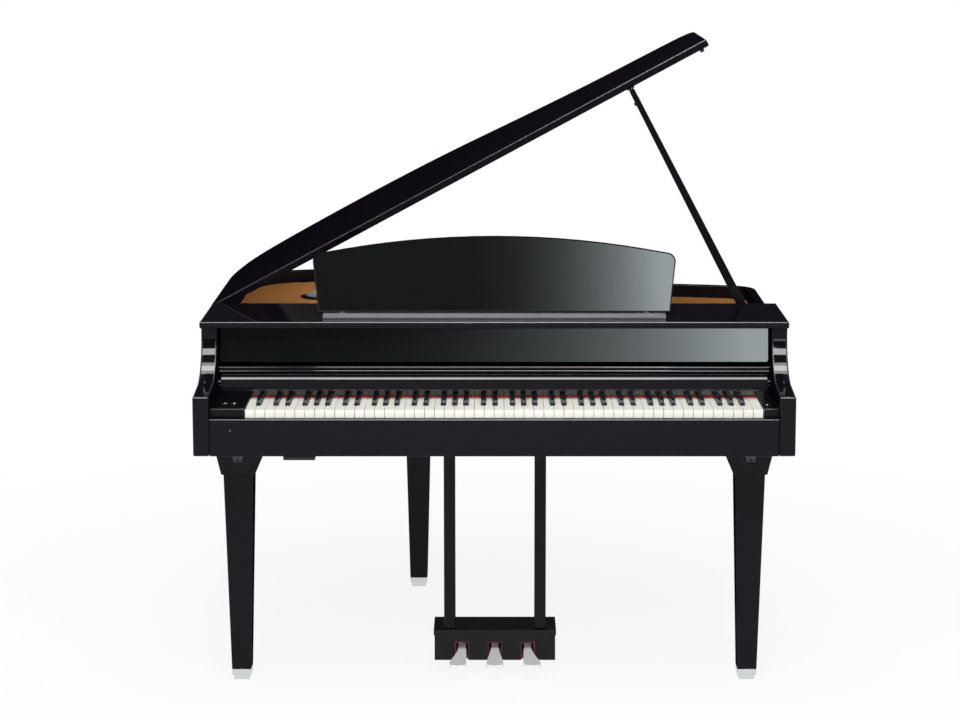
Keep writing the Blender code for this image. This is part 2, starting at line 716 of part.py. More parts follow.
def build_key_frame():
    """The chassis under the keys: a front stop rail, a base plate and a rail that carries the pivots."""
    floor = KEYBED_BOTTOM + KEYBED_THICKNESS + GAP
    rest = KEY_TOP - WHITE_THICKNESS
    outline = [(KEY_FRONT + 0.004, floor), (KEY_TAIL + 0.030, floor), (KEY_TAIL + 0.030, rest - 0.010),
               (KEY_PIVOT + 0.008, rest - 0.010), (KEY_PIVOT + 0.004, rest - 0.002),
               (KEY_PIVOT - 0.004, rest - 0.002), (KEY_PIVOT - 0.008, rest - 0.010),
               (KEY_PIVOT - 0.020, floor + 0.008), (KEY_FRONT + 0.030, floor + 0.008),
               (KEY_FRONT + 0.030, rest - 0.014), (KEY_FRONT + 0.004, rest - 0.014)]
    plate("key_frame", [(y_at(d), h) for d, h in outline], KEYS_LEFT + 0.001, KEYS_RIGHT - 0.001, "YZ",
          finish("pressed_steel", "#6d7073", 0.4, 0.9))


def build_panels():
    """The end blocks beside the keys, with their buttons in round seats."""
    back = KEY_FRONT + PANEL_DEPTH
    floor = KEYBED_BOTTOM + KEYBED_THICKNESS + GAP
    surface = finish("satin_panel", "#1a1a1d", 0.35)
    spans = {"control_panel_left": (-INNER_HALF + GAP, KEYS_LEFT - 0.0008),
             "control_panel_right": (KEYS_RIGHT + 0.0008, INNER_HALF - GAP)}
    buttons = {"panel_button_left": ("control_panel_left", 0.0294, 0.063),
               "panel_button_right": ("control_panel_left", 0.0505, 0.063),
               "power_button": ("control_panel_right", 0.0131, 0.046)}
    for name, (left, right) in spans.items():
        block = box(name, (left, y_at(KEY_FRONT - 0.003), floor), (right, y_at(back), PANEL_TOP), surface)
        for button, (owner, x, depth) in buttons.items():
            if owner != name:
                continue
            centre = Vector((left + x, y_at(KEY_FRONT + depth), PANEL_TOP))
            seat = rod(button + "_seat", centre - Vector((0, 0, BUTTON_SEAT)), centre + Vector((0, 0, 0.01)),
                       BUTTON_RADIUS + 0.0005)
            cut(block, seat)
            top = BUTTON_RISE
            profile = ((0, top), (BUTTON_RADIUS - 0.0008, top), (BUTTON_RADIUS, top - 0.0006),
                       (BUTTON_RADIUS, top - 0.0040), (0, top - 0.0040))
            turned(button, profile, centre, finish("button_chrome", "#c9cbce", 0.2, 1.0), 24)


def build_lid():
    """The lid and what is fixed to it, drawn shut and turned open on the hinge."""
    pin = Vector((-RIM_HALF - HINGE_OUT, y_at(HINGE_START), LID_UNDER - HINGE_DROP))
    pivot = bpy.data.objects.new("lid_pivot", None)
    parts.objects.link(pivot)
    pivot.location = pin
    pivot.rotation_euler = (0, -LID_OPEN, 0)

    def hang(piece):
        put_origin(piece, pin)
        piece.location = (0, 0, 0)
        piece.parent = pivot
        return piece

    edge = tail_curve(-LID_OVERHANG, LID_FRONT)
    lid = plate("lid", edge, LID_UNDER, LID_UNDER + LID_THICKNESS, "XY", ebony("polished_lid"))
    hang(lid)
    x, y = buffer_spot()
    foot = LID_UNDER - BUFFER_HEIGHT
    hang(rod("lid_buffer", (x, y, foot), (x, y, LID_UNDER - GAP), BUFFER_RADIUS,
             finish("buffer_rubber", "#2a2a2c", 0.7)))
    reach = PROP_LENGTH * math.cos(PROP_LEAN)
    tip = prop_pivot() + Vector((-reach, 0, PROP_LENGTH * math.sin(PROP_LEAN)))
    along = math.hypot(tip.x - pin.x, tip.z - pin.z)
    cup = box("prop_cup", (pin.x + along - CUP_HALF, y_at(LID_FRONT + 0.001), LID_UNDER - CUP_THICKNESS),
              (pin.x + along + CUP_HALF, y_at(LID_FRONT + 0.026), LID_UNDER - GAP),
              finish("cup_black", "#151517", 0.3))
    hang(soften(cup, 0.001))
    build_hinge(pin, hang)
    return lid


def build_hinge(pin, hang):
    """The long side hinge: its case leaf has the end knuckles, its lid leaf the middle one and the pin."""
    brass = finish("hinge_brass", "#b08a45", 0.3, 1.0)
    start, end = y_at(HINGE_START), y_at(HINGE_START + HINGE_LENGTH)
    face = -RIM_HALF - GAP
    case = box("lid_hinge_case_leaf", (face - HINGE_LEAF, start, pin.z - 0.030),
               (face, end, pin.z - 0.002), brass)
    middle_start, middle_end = start + HINGE_KNUCKLE, end - HINGE_KNUCKLE
    for name, (low, high) in {"front": (start, middle_start - GAP), "rear": (middle_end + GAP, end)}.items():
        knuckle = rod("case_knuckle_" + name, (pin.x, low, pin.z), (pin.x, high, pin.z), HINGE_BARREL_RADIUS)
        web = box("case_web_" + name, (pin.x + 0.001, low, pin.z - 0.006),
                  (face - 0.0005, high, pin.z - 0.0015))
        bore = rod("case_bore_" + name, (pin.x, low - 0.01, pin.z), (pin.x, high + 0.01, pin.z),
                   HINGE_PIN_RADIUS + BORE_SPACE)
        join(case, knuckle, web)
        cut(case, bore)
    edge = -RIM_HALF - LID_OVERHANG - GAP
    leaf = box("lid_hinge_lid_leaf", (edge - HINGE_LEAF, start, pin.z + 0.0008),
               (edge, end, LID_UNDER + LID_THICKNESS - 0.003), brass)
    barrel = rod("lid_knuckle", (pin.x, middle_start, pin.z), (pin.x, middle_end, pin.z),
                 HINGE_BARREL_RADIUS)
    web = box("lid_web", (edge - HINGE_LEAF, middle_start, pin.z - 0.0008),
              (pin.x, middle_end, pin.z + 0.0025))
    spindle = rod("lid_spindle", (pin.x, start + 0.001, pin.z), (pin.x, end - 0.001, pin.z),
                  HINGE_PIN_RADIUS)
    hang(leaf)
    for tool in (barrel, web, spindle):
        hang(tool)
    join(leaf, web, barrel, spindle)


def prop_pivot():
    return Vector((RIM_HALF - PROP_BASE_IN, y_at(PROP_PLANE), SOUNDBOARD_TOP + PROP_BASE_RISE))


def build_prop():
    """The stick that holds the lid up, in the slot behind the deck, and the bracket that carries it."""
    pivot = prop_pivot()
    left_side = [(-x, z) for x, z in arc((0, 0), PROP_WIDE, 90, 270, 13)]
    tip = [(-PROP_LENGTH + 0.006, -PROP_NARROW), (-PROP_LENGTH, -PROP_NARROW + 0.003),
           (-PROP_LENGTH, PROP_NARROW - 0.003), (-PROP_LENGTH + 0.006, PROP_NARROW)]
    outline = [*left_side, *tip]
    outline = [(pivot.x + x, pivot.z + z) for x, z in outline]
    stick = plate("lid_prop", outline, pivot.y, pivot.y + PROP_THICKNESS, "XZ", ebony("polished_prop"))
    bore = rod("prop_bore", pivot - Vector((0, 0.01, 0)), pivot + Vector((0, PROP_THICKNESS + 0.01, 0)),
               PIN_RADIUS + BORE_SPACE)
    cut(stick, bore)
    put_origin(stick, pivot)
    put_origin(bore, pivot)
    stick.rotation_euler = (0, PROP_LEAN, 0)
    ear_front = pivot.y + PROP_THICKNESS + 0.0006
    steel = finish("bracket_steel", "#8c8f92", 0.35, 1.0)
    ear = box("prop_bracket", (pivot.x - 0.009, ear_front, SOUNDBOARD_TOP + GAP),
              (pivot.x + 0.009, ear_front + 0.004, pivot.z + 0.008), steel)
    foot = box("prop_foot", (pivot.x - 0.015, ear_front + 0.002, SOUNDBOARD_TOP + GAP),
               (pivot.x + 0.015, ear_front + 0.020, SOUNDBOARD_TOP + 0.003))
    pin = rod("prop_pin", (pivot.x, pivot.y - 0.0015, pivot.z),
              (pivot.x, ear_front + 0.002, pivot.z), PIN_RADIUS)
    join(ear, foot, pin)


def desk_frame():
    """The desk's hinge line, and an empty on it that leans back."""
    hinge = Vector((0, y_at(DESK_HINGE), DECK_TOP + DESK_HINGE_RISE))
    frame = bpy.data.objects.new("desk_pivot", None)
    parts.objects.link(frame)
    frame.location = hinge
    frame.rotation_euler = (-DESK_LEAN, 0, 0)
    return hinge, frame


def build_desk():
    """The music desk, drawn upright about its hinge and then leaned back, with its ledge and stay."""
    hinge, frame = desk_frame()
    half = DESK_THICKNESS / 2
    rise = DESK_RISE - DESK_SHOULDER_RISE - DESK_CORNER
    chord = DESK_SHOULDER_HALF - DESK_CORNER
    radius = (chord ** 2 + rise ** 2) / (2 * rise)
    swing = math.degrees(math.asin(chord / radius))
    crown = arc((0, DESK_RISE - radius), radius, 90 - swing, 90 + swing, 17)
    shoulder = (DESK_SHOULDER_HALF - DESK_CORNER, DESK_SHOULDER_RISE)
    right = arc(shoulder, DESK_CORNER, 0, 90 - swing, 7)
    left = [(-x, z) for x, z in right[::-1]]
    outline = [(-DESK_FOOT_HALF, -DESK_FOOT_DROP), (DESK_FOOT_HALF, -DESK_FOOT_DROP),
               *right, *crown[1:-1], *left]
    front, rear = -half - DESK_FORWARD, half - DESK_FORWARD
    desk = plate("music_desk", outline, front, rear, "XZ", ebony("polished_desk"))
    desk.parent = frame
    ear_half = EAR_WIDTH / 2 + 0.0010
    pin_reach = 0.008
    for side in (-1, 1):
        x = side * EAR_AT
        notch = box("desk_notch", (x - ear_half, front + DESK_SKIN, -0.03), (x + ear_half, 0.02, 0.0085))
        bore = rod("desk_bore", (x - ear_half - pin_reach, 0, 0), (x + ear_half + pin_reach, 0, 0),
                   0.0025 + BORE_SPACE)
        for tool in (notch, bore):
            tool.parent = frame
        cut(desk, notch, bore)
    build_stay(frame, rear, desk)
    build_ledge(hinge, pin_reach)


def build_stay(frame, rear, desk):
    """A wire bail on the desk's back. It stands on the deck and folds up against the desk."""
    lugs = []
    for side in (-1, 1):
        x = side * (STAY_HALF + 0.0065)
        lug = box("stay_lug", (x - 0.0035, rear - 0.002, STAY_AT - 0.006),
                  (x + 0.0035, STAY_OUT + STAY_ROD + 0.0018, STAY_AT + 0.006))
        bore = rod("stay_bore", (x - 0.01, STAY_OUT, STAY_AT), (x + 0.01, STAY_OUT, STAY_AT),
                   STAY_ROD + BORE_SPACE)
        lug.parent = frame
        bore.parent = frame
        lugs.append((lug, bore))
    for lug, bore in lugs:
        join(desk, lug)
        cut(desk, bore)
    bend = 0.006
    path = [(-STAY_HALF - 0.0095, 0), (-STAY_HALF - 0.0010, 0), (-STAY_HALF, -0.0010)]
    path += [(x - STAY_HALF + bend, -y) for x, y in arc((0, STAY_LENGTH - bend), bend, 180, 90, 6)]
    path += [(-x, z) for x, z in path[::-1]]
    stay = bent_wire("desk_stay", path, STAY_ROD, finish("stay_steel", "#2a2b2d", 0.35, 0.8))
    stay.parent = frame
    stay.location = (0, STAY_OUT, STAY_AT)
    stay.rotation_euler = (DESK_LEAN * 2, 0, 0)


def build_ledge(hinge, pin_reach):
    """The shelf that sheets stand on, screwed to the deck, with two ears that carry the desk."""
    top = DECK_TOP + GAP + LEDGE_HEIGHT
    back = LEDGE_FRONT + LEDGE_DEPTH
    ledge = box("desk_ledge", (-LEDGE_HALF, y_at(LEDGE_FRONT), DECK_TOP + GAP),
                (LEDGE_HALF, y_at(back), top), ebony("polished_ledge"))
    soften(ledge, 0.0012)
    for side in (-1, 1):
        x = side * EAR_AT
        outline = [(y_at(back - 0.006), DECK_TOP + 2 * GAP),
                   (y_at(DESK_HINGE + 0.006), DECK_TOP + 2 * GAP)]
        outline += arc((hinge.y, hinge.z), EAR_RADIUS, 0, 180, 9)
        outline += [(hinge.y - EAR_RADIUS - 0.0015, top - 0.002), (y_at(back - 0.006), top - 0.002)]
        ear = plate("desk_ear", outline, x - EAR_WIDTH / 2, x + EAR_WIDTH / 2, "YZ")
        pin = rod("desk_pin", (x - EAR_WIDTH / 2 - pin_reach + 0.001, hinge.y, hinge.z),
                  (x + EAR_WIDTH / 2 + pin_reach - 0.001, hinge.y, hinge.z), 0.0025)
        join(ledge, ear, pin)


def build_leg(name, x, depth, top_z, shift):
    """A square tapered column under a flared block. shift moves the block's top sideways."""
    y = y_at(depth)

    def square(half, dx=0.0):
        return (x + dx - half, x + dx + half, y - half, y + half)

    surface = ebony("polished_leg")
    column = tapered(name, square(LEG_BOTTOM_HALF), square(LEG_TOP_HALF), FERRULE_HEIGHT + GAP,
                     LEG_BLOCK_BOTTOM + 0.004, surface)
    block = tapered(name + "_block", square(BLOCK_BOTTOM_HALF), square(BLOCK_TOP_HALF, shift),
                    LEG_BLOCK_BOTTOM, top_z - GAP)
    join(column, block)
    lower = tapered(name.replace("leg", "ferrule"), square(FERRULE_FOOT * 0.96), square(FERRULE_FOOT), 0.0,
                    FERRULE_STEP, finish("ferrule_metal", "#c4c8c8", 0.28, 0.9))
    upper = tapered(name + "_ferrule_top", square(LEG_BOTTOM_HALF * 0.985), square(LEG_BOTTOM_HALF),
                    FERRULE_STEP - 0.001, FERRULE_HEIGHT)
    join(lower, upper)


def build_legs():
    build_leg("leg_front_left", -FRONT_LEG_AT, FRONT_LEG_DEPTH, KEYBED_BOTTOM, BLOCK_TOP_SHIFT)
    build_leg("leg_front_right", FRONT_LEG_AT, FRONT_LEG_DEPTH, KEYBED_BOTTOM, -BLOCK_TOP_SHIFT)
    build_leg("leg_rear", REAR_LEG_X, REAR_LEG_DEPTH, RIM_BOTTOM, 0)


def build_lyre():
    for name, side in (("lyre_post_left", -1), ("lyre_post_right", 1)):
        x = LYRE_CENTRE + side * POST_AT
        half = POST_WIDTH / 2
        post = box(name, (x - half, y_at(POST_FRONT), BOX_TOP + GAP),
                   (x + half, y_at(POST_FRONT + POST_WIDTH), KEYBED_BOTTOM - GAP), ebony("polished_post"))
        soften(post, 0.002)
    left, right = LYRE_CENTRE - BOX_HALF, LYRE_CENTRE + BOX_HALF
    front, back = BOX_FRONT, BOX_FRONT + BOX_DEPTH
    casing = box("pedal_box", (left, y_at(front), BOX_BOTTOM), (right, y_at(back), BOX_TOP - BOX_LID / 2),
                 finish("satin_box", "#17171a", 0.3))
    out = BOX_LID_OVERHANG
    lid = box("pedal_box_top", (left - out, y_at(front - out), BOX_TOP - BOX_LID),
              (right + out, y_at(back), BOX_TOP))
    room = box("pedal_box_room", (left + BOX_WALL, y_at(front + BOX_WALL), BOX_BOTTOM - 0.01),
               (right - BOX_WALL, y_at(back - BOX_WALL), BOX_TOP - BOX_LID))
    join(casing, lid)
    cut(casing, room)
    for i in (-1, 0, 1):
        x = LYRE_CENTRE + i * PEDAL_SPACING
        slot = box("pedal_slot", (x - PEDAL_SLOT_HALF, y_at(front - 0.01), BOX_BOTTOM - 0.01),
                   (x + PEDAL_SLOT_HALF, y_at(front + BOX_WALL + 0.01), PEDAL_SLOT_TOP))
        cut(casing, slot)
    shaft = rod("pedal_shaft", (left + BOX_WALL / 2, y_at(PEDAL_PIVOT), PEDAL_PIVOT_HEIGHT),
                (right - BOX_WALL / 2, y_at(PEDAL_PIVOT), PEDAL_PIVOT_HEIGHT), PIN_RADIUS)
    join(casing, shaft)
    for name, i in (("pedal_left", -1), ("pedal_middle", 0), ("pedal_right", 1)):
        build_pedal(name, i)


def build_pedal(name, i):
    """A pedal: a narrow tail on the shaft, and a paddle that widens to a blunt toe and splays outwards."""
    tail = 0.010
    length = PEDAL_PIVOT - (BOX_FRONT - PEDAL_REACH)
    root = PEDAL_PIVOT - BOX_FRONT
    splay = i * PEDAL_SPLAY
    edges = []
    for side in (1, -1):
        edges.append(smooth_corners([
            (side * PEDAL_NECK_HALF, tail), (side * PEDAL_NECK_HALF, 0.022 - root),
            (side * PEDAL_ROOT_HALF, -root - 0.004), (splay + side * PEDAL_TIP_HALF, 0.012 - length),
            (splay + side * PEDAL_TIP_HALF * 0.8, 0.002 - length), (splay, -length)], 2))
    side, other = edges
    outline = side + other[-2::-1]
    half = PEDAL_THICKNESS / 2
    pedal = plate(name, outline, -half, half, "XY", finish("pedal_nickel", "#d5d8da", 0.2, 1.0))
    bore = rod(name + "_bore", (-0.05, 0, 0), (0.05, 0, 0), PIN_RADIUS + BORE_SPACE)
    cut(pedal, bore)
    place = Vector((LYRE_CENTRE + i * PEDAL_SPACING, y_at(PEDAL_PIVOT), PEDAL_PIVOT_HEIGHT))
    pedal.location = place
    bore.location = place
    pedal.rotation_euler = (PEDAL_SLOPE, 0, 0)


def build_electrics():
    left = HEADPHONE_X - HEADPHONE_WIDTH / 2
    right = HEADPHONE_X + HEADPHONE_WIDTH / 2
    jack = box("headphone_box", (left, y_at(0.004), KEYBED_BOTTOM - HEADPHONE_HEIGHT),
               (right, y_at(0.004 + HEADPHONE_DEPTH), KEYBED_BOTTOM - GAP),
               finish("box_black", "#1b1b1e", 0.4))
    soften(jack, 0.0018)
    floor = RIM_BOTTOM + BOTTOM_BOARD_THICKNESS + GAP
    board = box("main_board", (-0.20, y_at(0.56), floor), (0.16, y_at(0.76), floor + 0.0016),
                finish("circuit_green", "#1f5a34", 0.4))
    blocks = (("main_chip_cover", -0.12, 0.60, 0.060, 0.050, 0.012),
              ("amplifier_block", 0.03, 0.60, 0.090, 0.060, 0.030),
              ("supply_block", -0.10, 0.68, 0.110, 0.055, 0.024))
    for name, x, depth, width, length, height in blocks:
        join(board, box(name, (x, y_at(depth), floor + 0.0008),
                        (x + width, y_at(depth + length), floor + height)))


def centre_over_origin():
    """Moves everything so that the whole, with its lid out past the left side, is centred over the origin."""
    bpy.context.view_layer.update()
    graph = bpy.context.evaluated_depsgraph_get()
    corners = []
    for piece in parts.objects:
        if piece.type != "EMPTY":
            drawn = piece.evaluated_get(graph)
            corners += [drawn.matrix_world @ point.co for point in drawn.to_mesh().vertices]
            drawn.to_mesh_clear()
    for axis in (0, 1):
        values = [corner[axis] for corner in corners]
        middle = (min(values) + max(values)) / 2
        for piece in [*parts.objects, *cutters.objects]:
            if piece.parent is None:
                piece.location[axis] -= middle


clear_scene()
parts = bpy.data.collections.new("digital_grand_piano")
cutters = bpy.data.collections.new("cutters")
for group in (parts, cutters):
    bpy.context.scene.collection.children.link(group)

build_rim()
build_floor_and_soundboard()
build_speakers()
build_arm("arm_left", -1)
build_arm("arm_right", 1)
build_case_boards()
build_rails()
build_key_cover()
build_keys()
build_key_frame()
build_panels()
build_lid()
build_prop()
build_desk()
build_legs()
build_lyre()
build_electrics()
centre_over_origin()
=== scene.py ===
"""Looks of the digital grand piano: its lacquer, keys, felt, metal and wood, on a pale studio floor."""

import json
import math

import bmesh
import bpy
from mathutils import Matrix, Vector

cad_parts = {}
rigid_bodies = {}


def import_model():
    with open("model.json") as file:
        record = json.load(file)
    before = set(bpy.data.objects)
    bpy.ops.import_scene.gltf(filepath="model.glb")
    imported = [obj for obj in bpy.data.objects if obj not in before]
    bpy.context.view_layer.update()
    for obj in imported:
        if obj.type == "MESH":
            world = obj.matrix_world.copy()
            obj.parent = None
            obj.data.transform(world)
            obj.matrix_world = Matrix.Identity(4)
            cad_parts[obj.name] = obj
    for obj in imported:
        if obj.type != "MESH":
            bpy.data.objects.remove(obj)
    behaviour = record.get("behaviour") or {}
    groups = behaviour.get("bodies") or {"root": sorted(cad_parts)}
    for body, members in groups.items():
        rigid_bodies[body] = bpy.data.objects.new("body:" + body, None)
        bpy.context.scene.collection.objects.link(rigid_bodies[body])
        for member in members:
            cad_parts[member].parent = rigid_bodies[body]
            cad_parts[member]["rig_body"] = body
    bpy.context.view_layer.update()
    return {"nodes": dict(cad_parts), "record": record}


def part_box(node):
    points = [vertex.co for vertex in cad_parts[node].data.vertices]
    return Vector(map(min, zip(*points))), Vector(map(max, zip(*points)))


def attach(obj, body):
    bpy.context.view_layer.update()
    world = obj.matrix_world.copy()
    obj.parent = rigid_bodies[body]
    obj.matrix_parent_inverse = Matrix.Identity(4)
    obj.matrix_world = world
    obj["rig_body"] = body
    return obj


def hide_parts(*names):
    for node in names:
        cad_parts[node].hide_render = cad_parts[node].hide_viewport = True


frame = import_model()


# Shader helpers

def linear(hex_colour):
    """An sRGB hex colour as linear RGBA."""
    channels = [int(hex_colour[i:i + 2], 16) / 255 for i in (1, 3, 5)]
    return (*[c / 12.92 if c <= 0.04045 else ((c + 0.055) / 1.055) ** 2.4 for c in channels], 1.0)


def add_node(tree, kind, inputs=None, **settings):
    """Adds a shader node, sets its attributes, and fills its inputs with values or links."""
    node = tree.nodes.new(kind)
    for name, value in settings.items():
        setattr(node, name, value)
    for name, value in (inputs or {}).items():
        socket = node.inputs[name]
        if isinstance(value, bpy.types.NodeSocket):
            tree.links.new(value, socket)
        else:
            socket.default_value = value
    return node


def new_material(name, base, roughness, **sockets):
    """A Principled material, its tree and shader. Sockets have underscores for the spaces in their names."""
    material = bpy.data.materials.new(name)
    material.use_nodes = True
    tree = material.node_tree
    shader = tree.nodes["Principled BSDF"]
    shader.inputs["Base Color"].default_value = linear(base)
    shader.inputs["Roughness"].default_value = roughness
    for socket, value in sockets.items():
        shader.inputs[socket.replace("_", " ")].default_value = value
    material.diffuse_color = linear(base)
    return material, tree, shader


def object_coordinates(tree, scale=(1, 1, 1), rotation=(0, 0, 0)):
    """The piece's own coordinates in metres, scaled and turned."""
    place = add_node(tree, "ShaderNodeTexCoord").outputs["Object"]
    mapping = {"Vector": place, "Scale": scale, "Rotation": rotation}
    return add_node(tree, "ShaderNodeMapping", mapping).outputs[0]


def noise(tree, vector, scale, detail=3.0, roughness=0.5):
    """A noise texture's value, from 0 to 1."""
    inputs = {"Vector": vector, "Scale": scale, "Detail": detail, "Roughness": roughness}
    return add_node(tree, "ShaderNodeTexNoise", inputs).outputs["Fac"]


def ramp(tree, factor, stops):
    """A colour ramp of (position, hex) stops."""
    node = add_node(tree, "ShaderNodeValToRGB", {"Fac": factor})
    elements = node.color_ramp.elements
    for element, (position, colour) in zip(elements, (stops[0], stops[-1])):
        element.position = position
        element.color = linear(colour)
    for position, colour in stops[1:-1]:
        elements.new(position).color = linear(colour)
    return node.outputs["Color"]


def map_range(tree, value, limits, **settings):
    """A Map Range node's result. Limits gives its inputs by name."""
    return add_node(tree, "ShaderNodeMapRange", {"Value": value, **limits}, **settings).outputs[0]


def vary_roughness(tree, shader, factor, low, high):
    """Lets the roughness follow factor between low and high."""
    rough = map_range(tree, factor, {"To Min": low, "To Max": high})
    tree.links.new(rough, shader.inputs["Roughness"])


def vary_colour(tree, shader, factor, *stops):
    """Lets the base colour follow factor through (position, hex) stops."""
    tree.links.new(ramp(tree, factor, stops), shader.inputs["Base Color"])


def bump(tree, shader, height, strength, distance):
    """Tilts the shader's normal by a height texture."""
    relief = add_node(tree, "ShaderNodeBump", {"Height": height, "Strength": strength, "Distance": distance})
    tree.links.new(relief.outputs["Normal"], shader.inputs["Normal"])


# Materials

def polished_lacquer(name, shine, base="#0f0c13", low=0.02, high=0.05, fades=True):
    """Black polyester lacquer, poured, sanded and buffed: a mirror with the faintest orange peel.

    Shine is its specular level. A film that fades loses its specular level when it is seen along the surface:
    painted shade in place of the glare there.
    """
    material, tree, shader = new_material(name, base, 0.035, Specular_IOR_Level=shine)
    place = object_coordinates(tree)
    vary_roughness(tree, shader, noise(tree, place, scale=6.0, detail=4.0), low, high)
    # Painted shade: the reflection is taken away at grazing angles.
    if fades:
        facing = add_node(tree, "ShaderNodeLayerWeight", {"Blend": 0.5}).outputs["Facing"]
        limits = {"From Min": 0.55, "From Max": 0.84, "To Min": shine, "To Max": 0.0}
        fade = map_range(tree, facing, limits, interpolation_type="SMOOTHSTEP")
        tree.links.new(fade, shader.inputs["Specular IOR Level"])
    bump(tree, shader, noise(tree, place, scale=260.0, detail=1.0), strength=0.02, distance=0.0004)
    return material


def lacquer_edge():
    """The rounded edges of the lacquer, paler and glossier than the lacquer itself: a painted highlight that
    shows them as thin pale lines.
    """
    material, tree, shader = new_material("edge_lacquer_painted_highlight", "#1b1a20", 0.38, IOR=1.8,
                                          Specular_IOR_Level=0.7)
    vary_roughness(tree, shader, noise(tree, object_coordinates(tree), scale=12.0), 0.34, 0.42)
    return material


def satin_paint():
    """Black paint rolled on board: fine stipple that spreads the light."""
    material, tree, shader = new_material("satin_black_paint", "#131316", 0.42)
    place = object_coordinates(tree)
    vary_roughness(tree, shader, noise(tree, place, scale=30.0), 0.36, 0.50)
    bump(tree, shader, noise(tree, place, scale=900.0, detail=2.0), strength=0.15, distance=0.0003)
    return material


def moulded_plastic(name, base, shine, low, high):
    """Injection-moulded ABS with a fine spark-eroded grain. Its roughness lies between low and high."""
    material, tree, shader = new_material(name, base, low, Specular_IOR_Level=shine)
    place = object_coordinates(tree)
    bump(tree, shader, noise(tree, place, scale=1800.0, detail=1.0), strength=0.12, distance=0.0002)
    vary_roughness(tree, shader, noise(tree, place, scale=25.0), low, high)
    return material


def spruce():
    """Quarter-sawn spruce veneer under clear lacquer: straight fine grain running aslant, warm orange."""
    material, tree, shader = new_material("lacquered_spruce_veneer", "#b9793f", 0.30, Coat_Weight=0.3,
                                          Coat_Roughness=0.15)
    grain_turn = (0, 0, math.radians(38))
    place = object_coordinates(tree, (1, 0.05, 1), grain_turn)
    slow = noise(tree, place, scale=9.0, detail=2.0)
    waves = {"Vector": place, "Scale": 95.0, "Distortion": 3.0, "Detail": 3.0, "Detail Scale": 1.5}
    bands = add_node(tree, "ShaderNodeTexWave", waves, wave_type="BANDS", bands_direction="X").outputs["Fac"]
    fibres = noise(tree, object_coordinates(tree, (600, 12, 600), grain_turn), scale=1.0)
    mixed = add_node(tree, "ShaderNodeMix", {0: 0.35, 2: bands, 3: fibres}, data_type="FLOAT").outputs[0]
    lines = add_node(tree, "ShaderNodeMix", {0: 0.25, 2: mixed, 3: slow}, data_type="FLOAT").outputs[0]
    vary_colour(tree, shader, lines, (0.2, "#a4662f"), (0.5, "#cb8845"), (0.8, "#e0a35e"))
    bump(tree, shader, bands, strength=0.05, distance=0.0002)
    return material


def key_acrylic():
    """Moulded acrylic of the white keys: warm white, smooth, a little light passing in."""
    material, tree, shader = new_material("white_key_acrylic", "#f3f1e8", 0.22, Subsurface_Weight=0.08,
                                          Subsurface_Scale=0.003)
    place = object_coordinates(tree)
    vary_roughness(tree, shader, noise(tree, place, scale=40.0), 0.18, 0.28)
    vary_colour(tree, shader, noise(tree, place, scale=5.0), (0.3, "#eeece2"), (0.7, "#f4f2e9"))
    return material


def key_ebony():
    """Phenolic moulding of the black keys: matt, faintly grained along the key."""
    material, tree, shader = new_material("black_key_phenolic", "#0d0d10", 0.30, Specular_IOR_Level=0.45)
    grain = noise(tree, object_coordinates(tree, (1, 0.08, 1)), scale=900.0, detail=2.0)
    vary_roughness(tree, shader, grain, 0.24, 0.38)
    bump(tree, shader, grain, strength=0.06, distance=0.0002)
    return material


def felt(name, dark, light):
    """Pressed wool felt: short fibres that soften the edge and the colour."""
    material, tree, shader = new_material(name, light, 0.95, Sheen_Weight=0.6, Sheen_Roughness=0.5,
                                          Specular_IOR_Level=0.1)
    fibres = noise(tree, object_coordinates(tree), scale=1500.0, detail=4.0, roughness=0.7)
    vary_colour(tree, shader, fibres, (0.3, dark), (0.7, light))
    bump(tree, shader, fibres, strength=0.5, distance=0.0005)
    return material


def metal(name, colour, low, high, along=(1, 1, 1)):
    """Bright metal whose roughness runs with the direction that it was polished in."""
    material, tree, shader = new_material(name, colour, low, Metallic=1.0)
    lines = noise(tree, object_coordinates(tree, along), scale=400.0)
    vary_roughness(tree, shader, lines, low, high)
    bump(tree, shader, lines, strength=0.03, distance=0.0002)
    return material


def silvered(name, base):
    """Silver plating with a satin finish: mostly a pale haze, with some mirror in it."""
    material, tree, shader = new_material(name, base, 0.34, Metallic=0.25)
    lines = noise(tree, object_coordinates(tree, (1, 0.1, 1)), scale=400.0)
    vary_roughness(tree, shader, lines, 0.30, 0.40)
    bump(tree, shader, lines, strength=0.02, distance=0.0002)
    return material


def status_lamp():
    """A small light-emitting diode behind the lacquer, dimly lit."""
    material, _, shader = new_material("status_lamp", "#8a7480", 0.3, Emission_Strength=0.12)
    shader.inputs["Emission Color"].default_value = linear("#d8b8c4")
    return material


def grille():
    """Punched silvery steel over a dark cone: round holes 1.6 mm apart."""
    material, tree, shader = new_material("punched_steel_mesh", "#b4b7ba", 0.38, Metallic=0.3)
    holes_per_metre = 625
    cells = {"Vector": object_coordinates(tree, (holes_per_metre,) * 3), "Scale": 1.0, "Randomness": 0.0}
    middle = add_node(tree, "ShaderNodeTexVoronoi", cells, voronoi_dimensions="2D").outputs["Distance"]
    vary_colour(tree, shader, middle, (0.28, "#1a1a1c"), (0.36, "#d0d3d6"))
    return material


def circuit_board():
    """Glass-epoxy board under green solder mask, with faint copper tracks."""
    material, tree, shader = new_material("green_solder_mask", "#1d5a33", 0.35)
    tracks = {"Vector": object_coordinates(tree), "Scale": 60.0, "Color1": linear("#1d5a33"),
              "Color2": linear("#226b3c"), "Mortar": linear("#2f7a48")}
    colour = add_node(tree, "ShaderNodeTexBrick", tracks).outputs["Color"]
    tree.links.new(colour, shader.inputs["Base Color"])
    return material


def rubber():
    """Soft nitrile rubber with a dusty bloom."""
    material, tree, shader = new_material("buffer_rubber", "#3c3c3e", 0.7)
    bloom = noise(tree, object_coordinates(tree), scale=300.0)
    vary_colour(tree, shader, bloom, (0.3, "#333335"), (0.7, "#48484a"))
    return material


